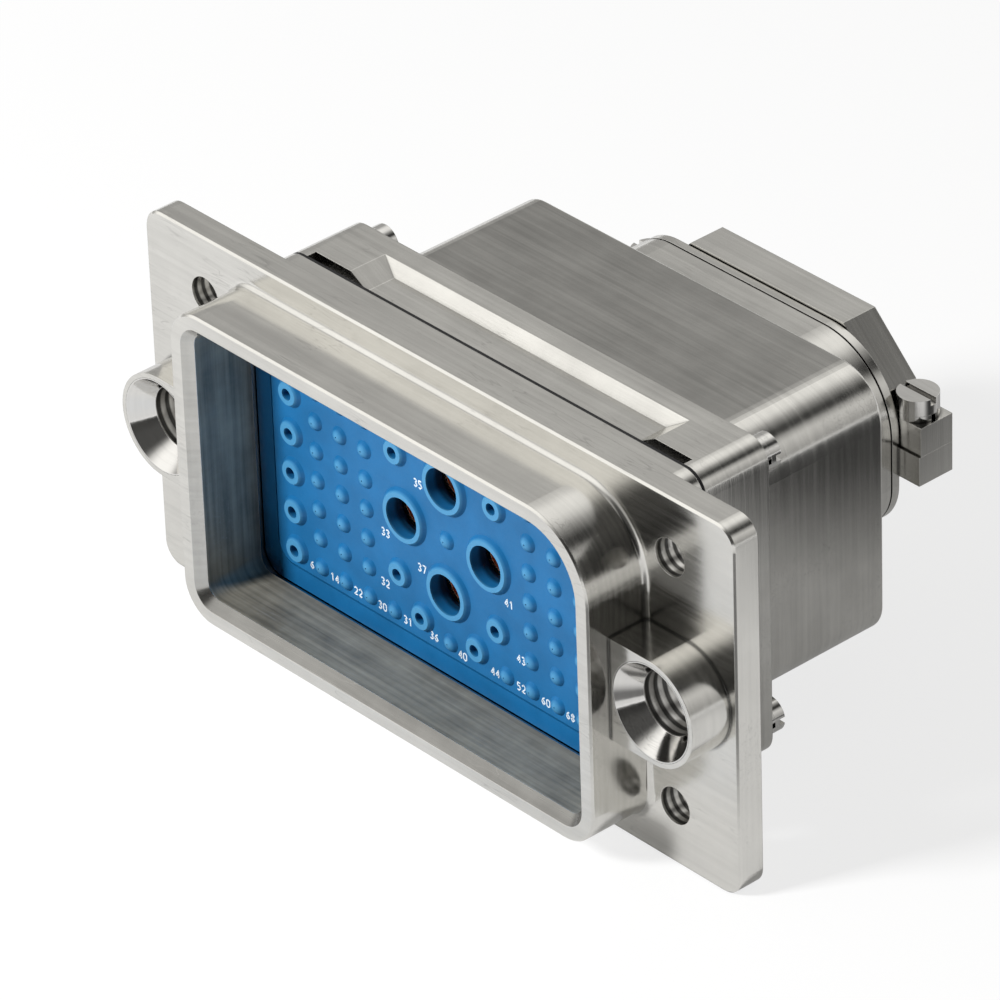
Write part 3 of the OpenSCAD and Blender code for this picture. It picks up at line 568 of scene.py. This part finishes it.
def ribbon(points, half, rise, steps):
    """A flat strip: a four-point profile of the given half width and rise, carried along a polyline that is
    sampled evenly by its length. Its sideways direction is the path's own tangent turned by a right angle."""
    corner = np.asarray(points, float)
    reach = np.concatenate([[0], np.cumsum(np.hypot(*np.diff(corner, axis=0).T))])
    where = np.unique(np.concatenate([np.linspace(0, reach[-1], steps), reach]))
    path = np.stack([np.interp(where, reach, corner[:, k]) for k in (0, 1)], -1)
    tangent = np.gradient(path, axis=0)
    tangent /= np.linalg.norm(tangent, axis=1, keepdims=True)
    side = np.stack([-tangent[:, 1], tangent[:, 0]], -1)
    profile = np.array([(-1.0, -0.3), (-0.86, 1.0), (0.86, 1.0), (1.0, -0.3)])
    grid = np.concatenate([
        path[:, None, :] + side[:, None, :] * (profile[None, :, :1] * half),
        np.broadcast_to(profile[None, :, 1:] * rise, (len(path), 4, 1))], -1)
    row = np.arange(len(path) - 1)[:, None] * 4
    ring = np.arange(4)[None, :]
    after = (ring + 1) % 4
    faces = np.stack([row + ring, row + after, row + 4 + after, row + 4 + ring], -1).reshape(-1, 4)
    last = 4 * (len(path) - 1)
    ends = np.array([[3, 2, 1, 0], [last, last + 1, last + 2, last + 3]])
    return grid.reshape(-1, 3), np.concatenate([faces, ends])


class CONNECTOR_OT_number_marks(bpy.types.Operator):
    """Prints the plain contact numbers on the front of the seal"""
    bl_idname = "connector.number_marks"
    bl_label = "Contact numbers"

    def execute(self, context):
        marks = context.scene.connector_marks
        points, faces, count = [], [], 0
        for text, x, z in NUMBERS:
            wide = (len(text) * DIGIT_W + (len(text) - 1) * DIGIT_GAP) * marks.height
            for k, digit in enumerate(text):
                left = x * MM - wide / 2 + k * (DIGIT_W + DIGIT_GAP) * marks.height
                for stroke in DIGITS[digit]:
                    plane = np.array(stroke) * marks.height + (left, z * MM - marks.height / 2)
                    grid, cells = ribbon(plane, marks.stroke / 2, marks.film, marks.steps)
                    points.append(np.stack([grid[:, 0], SEAL_FRONT - grid[:, 2], grid[:, 1]], -1))
                    faces.append(cells + count)
                    count += len(grid)
        mesh = bpy.data.meshes.new("number_marks")
        mesh.from_pydata(np.concatenate(points).tolist(), [], np.concatenate(faces).tolist())
        mesh.update()
        piece = bpy.data.objects.new("number_marks", mesh)
        context.scene.collection.objects.link(piece)
        ink = moulded_material("marking_ink", context.scene.connector_finish.ink, 0.55, spread=0.10)
        mesh.materials.append(ink)
        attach(piece, "root")
        return {"FINISHED"}


def aim(place, target):
    """A matrix at a place whose -Z looks at a target."""
    look = (Vector(target) - Vector(place)).to_track_quat("-Z", "Y")
    return Matrix.Translation(place) @ look.to_matrix().to_4x4()


def add_lamp(name, place, target, power, size):
    """A square soft lamp that looks at a target."""
    data = bpy.data.lights.new(name, "AREA")
    data.energy = power
    data.size = size
    lamp = bpy.data.objects.new(name, data)
    bpy.context.scene.collection.objects.link(lamp)
    lamp.matrix_world = aim(place, target)
    return lamp


# Level of the room in front and its least level, the share of it that matt faces get, and its warm tint
ROOM, DARKEST, MATT_SHARE, WARMTH = 0.52, 0.02, 0.38, (1.0, 0.99, 0.965)
# Part of a ray's direction along Y over which the room in front gives way to the strips behind
BEHIND = (0.12, 0.42)
# Panels and flags in front: direction, outer and inner angle in degrees, gain
PANELS = (
    ((-0.62, -0.54, 0.57), 42, 14, 0.84),
    ((0.635, -0.554, 0.537), 48, 26, -0.43),
    ((0.95, 0.25, 0.20), 60, 25, -0.18))
# Long strips overhead behind the object: angle about Y from straight up towards +X in degrees, level
STRIPS = ((-110, 0.42), (-52, 0.47), (-38, 0.86), (-26, 1.10), (-8, 1.04), (2, 0.76), (11, 0.40), (22, 0.16),
          (28, 0.05), (38, 0.05), (46, 0.46), (57, 0.78), (70, 0.62), (84, 0.44), (100, 0.42))


def studio_world():
    """White to the camera. To the object it is a grey room: in front, soft bright panels and dark flags, each
    added by the angle between the ray and its direction, and behind, strips along Y by the angle about Y."""
    world = bpy.data.worlds.new("studio")
    world.use_nodes = True
    world.cycles.sampling_method = "NONE"
    tree = world.node_tree
    room = tree.nodes["Background"]
    ray = add(tree, "ShaderNodeTexCoord").outputs["Generated"]
    level = None
    for direction, outer, inner, gain in PANELS:
        angle = add(tree, "ShaderNodeVectorMath", {1: Vector(direction).normalized()}, {0: ray},
                    operation="DOT_PRODUCT").outputs["Value"]
        part = span(tree, angle, math.cos(math.radians(outer)), math.cos(math.radians(inner)), 0.0, gain,
                    smooth=True)
        level = maths(tree, "ADD", part, ROOM if level is None else level)
    side = add(tree, "ShaderNodeSeparateXYZ", links={0: ray}).outputs
    turn = span(tree, maths(tree, "ARCTAN2", side[0], side[2]), -math.pi, math.pi)
    strips = tree.nodes.new("ShaderNodeValToRGB")
    stops = strips.color_ramp.elements
    stops.remove(stops[1])
    for k, (angle, value) in enumerate(STRIPS):
        stop = stops.new(angle / 360 + 0.5) if k else stops[0]
        stop.position = angle / 360 + 0.5
        stop.color = (value, value, value, 1)
    tree.links.new(turn, strips.inputs[0])
    behind = span(tree, side[1], *BEHIND, smooth=True)
    level = add(tree, "ShaderNodeMix", links={0: behind, 2: maths(tree, "MAXIMUM", level, DARKEST),
                                              3: strips.outputs[0]}).outputs[0]
    path = add(tree, "ShaderNodeLightPath")
    matt = span(tree, path.outputs["Is Diffuse Ray"], 0.0, 1.0, 1.0, MATT_SHARE)
    level = maths(tree, "MULTIPLY", level, matt)
    warm = add(tree, "ShaderNodeCombineColor",
               links={k: maths(tree, "MULTIPLY", level, part) for k, part in enumerate(WARMTH)})
    tree.links.new(warm.outputs[0], room.inputs["Color"])
    white = add(tree, "ShaderNodeBackground", {"Color": (1, 1, 1, 1), "Strength": 1})
    seen = maths(tree, "MAXIMUM", path.outputs["Is Camera Ray"], path.outputs["Is Transmission Ray"])
    mix = add(tree, "ShaderNodeMixShader", links={0: seen, 1: room.outputs[0], 2: white.outputs[0]})
    tree.links.new(mix.outputs[0], tree.nodes["World Output"].inputs["Surface"])
    return world


# Strength of the floor's own white, and its share near the object as the camera and as metal see it
FLOOR_GLOW, NEAR_SEEN, NEAR_GLOSSY = 1.08, 0.72, 0.2
# Distances in metres between which that share grows to the whole
FLOOR_FADE = (0.10, 0.32)
# Painted dark patches on the floor that only metal shows, standing in for shade in its reflections: both ends
# along X and Y and the inner and outer radius in millimetres, and the level
GLOSSY_SHADE_PATCHES = (((60, 56), (430, 300), 12, 32, 0.08), ((63, -34), (63, -34), 14, 34, 0.24))


def floor_material(base):
    """Pale floor: matt, and more of its own white further out, so that it meets the white background. Glossy
    rays see it darker on painted dark patches that stand in for shade, by the distance from the line between
    each patch's ends."""
    material, tree, shader = new_material("floor_paint")
    place = add(tree, "ShaderNodeTexCoord").outputs["Object"]
    path = add(tree, "ShaderNodeLightPath")
    glossy = path.outputs["Is Glossy Ray"]
    clear = None
    for start, stop, inner, outer, dark in GLOSSY_SHADE_PATCHES:
        first, last = (Vector((*end, FLOOR_Z / MM)) * MM for end in (start, stop))
        run = last - first
        from_first = add(tree, "ShaderNodeVectorMath", {1: first}, {0: place},
                         operation="SUBTRACT").outputs[0]
        along = add(tree, "ShaderNodeVectorMath", {1: run / max(run.length_squared, 1e-9)}, {0: from_first},
                    operation="DOT_PRODUCT").outputs["Value"]
        reach = add(tree, "ShaderNodeVectorMath", {0: run}, {3: span(tree, along, 0.0, 1.0)},
                    operation="SCALE")
        away = add(tree, "ShaderNodeVectorMath", links={0: from_first, 1: reach.outputs[0]},
                   operation="DISTANCE").outputs["Value"]
        part = span(tree, away, inner * MM, outer * MM, dark, 1.0, smooth=True)
        clear = part if clear is None else maths(tree, "MULTIPLY", clear, part)
    clear = maths(tree, "SUBTRACT", 1.0, maths(tree, "MULTIPLY", glossy, maths(tree, "SUBTRACT", 1.0, clear)))
    tree.links.new(blend(tree, clear, (0, 0, 0), base), shader.inputs["Base Color"])
    shader.inputs["Roughness"].default_value = 0.9
    shader.inputs["Specular IOR Level"].default_value = 0.0
    glow = add(tree, "ShaderNodeEmission", {"Color": (1, 1, 1, 1)})
    tree.links.new(maths(tree, "MULTIPLY", clear, FLOOR_GLOW), glow.inputs["Strength"])
    away = add(tree, "ShaderNodeVectorMath", links={0: place}, operation="LENGTH").outputs["Value"]
    far = span(tree, away, *FLOOR_FADE, smooth=True)
    seen = maths(tree, "MAXIMUM", path.outputs["Is Camera Ray"], path.outputs["Is Transmission Ray"])
    near = maths(tree, "ADD", maths(tree, "MULTIPLY", seen, NEAR_SEEN),
                 maths(tree, "MULTIPLY", glossy, NEAR_GLOSSY))
    out = maths(tree, "MULTIPLY", maths(tree, "MAXIMUM", seen, glossy), far)
    both = add(tree, "ShaderNodeMixShader", links={0: maths(tree, "MAXIMUM", near, out), 1: shader.outputs[0],
                                                   2: glow.outputs[0]})
    tree.links.new(both.outputs[0], tree.nodes["Material Output"].inputs["Surface"])
    return material


# Cells along one side of the floor
FLOOR_CELLS = 8
# Place of the soft lamp and the point that it looks at, in metres
KEY_PLACE, KEY_TARGET = (-0.17, -0.46, 0.345), (0, 0.01, 0)
# Camera: turn about Z, rise and roll in degrees, and the point that it looks at in millimetres
CAMERA_TURNS, CAMERA_TARGET = (48.922, 32.499, -2.033), (-0.951, 5.4, 0.469)


class CONNECTOR_OT_stage(bpy.types.Operator):
    """Sets up the floor, the lamp, the white world and the camera"""
    bl_idname = "connector.stage"
    bl_label = "Studio"

    def execute(self, context):
        scene, stage = context.scene, context.scene.connector_stage
        half = stage.floor_size / 2
        row = FLOOR_CELLS + 1
        line = np.linspace(-half, half, row)
        u, v = np.meshgrid(line, line, indexing="ij")
        points = np.stack([u, v, np.full_like(u, FLOOR_Z)], -1).reshape(-1, 3)
        cell = (np.arange(FLOOR_CELLS)[:, None] * row + np.arange(FLOOR_CELLS)[None, :]).reshape(-1)
        faces = np.stack([cell, cell + row, cell + row + 1, cell + 1], -1)
        mesh = bpy.data.meshes.new("floor")
        mesh.from_pydata(points.tolist(), [], faces.tolist())
        mesh.materials.append(floor_material(stage.floor))
        floor = bpy.data.objects.new("floor", mesh)
        scene.collection.objects.link(floor)
        key = add_lamp("key_lamp", KEY_PLACE, KEY_TARGET, stage.key_power, stage.key_size)
        key.visible_glossy = False
        scene.world = studio_world()
        scene.view_settings.view_transform = "Standard"
        azimuth, rise, roll = (math.radians(turn) for turn in CAMERA_TURNS)
        to_camera = Vector((math.cos(rise) * math.sin(azimuth), -math.cos(rise) * math.cos(azimuth),
                            math.sin(rise)))
        right = Vector((math.cos(azimuth), math.sin(azimuth), 0))
        up = to_camera.cross(right)
        across = math.cos(roll) * right + math.sin(roll) * up
        upward = math.cos(roll) * up - math.sin(roll) * right
        target = Vector(CAMERA_TARGET) * MM
        data = bpy.data.cameras.new("camera")
        data.lens, data.sensor_width, data.clip_start = stage.lens, 36, 0.01
        camera = bpy.data.objects.new("camera", data)
        scene.collection.objects.link(camera)
        turn = Matrix((across, upward, to_camera)).transposed().to_4x4()
        camera.matrix_world = Matrix.Translation(target + stage.distance * to_camera) @ turn
        scene.camera = camera
        return {"FINISHED"}


class CONNECTOR_PT_panel(bpy.types.Panel):
    """Lists the connector's steps in the sidebar"""
    bl_idname = "CONNECTOR_PT_panel"
    bl_label = "Connector"
    bl_space_type = "VIEW_3D"
    bl_region_type = "UI"
    bl_category = "Connector"

    def draw(self, context):
        for step in STEPS:
            self.layout.operator(step.bl_idname)
        for group in (context.scene.connector_finish, context.scene.connector_marks,
                      context.scene.connector_stage):
            for key in group.__annotations__:
                self.layout.prop(group, key)


STEPS = (CONNECTOR_OT_stage, CONNECTOR_OT_shells, CONNECTOR_OT_hardware, CONNECTOR_OT_insert,
         CONNECTOR_OT_contacts, CONNECTOR_OT_number_marks)
SETTINGS = {"connector_finish": ConnectorFinish, "connector_marks": ConnectorMarks,
            "connector_stage": ConnectorStage}


def register():
    """Registers the classes and hangs the settings on the scene."""
    for item in (*SETTINGS.values(), *STEPS, CONNECTOR_PT_panel):
        bpy.utils.register_class(item)
    for key, kind in SETTINGS.items():
        setattr(bpy.types.Scene, key, PointerProperty(type=kind))


def unregister():
    """Takes the settings and the classes away again."""
    for key in SETTINGS:
        delattr(bpy.types.Scene, key)
    for item in (CONNECTOR_PT_panel, *reversed(STEPS), *reversed(tuple(SETTINGS.values()))):
        bpy.utils.unregister_class(item)


def main():
    """Registers the add-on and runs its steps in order."""
    register()
    for step in STEPS:
        group, name = step.bl_idname.split(".")
        getattr(getattr(bpy.ops, group), name)()


if __name__ == "__main__":
    main()
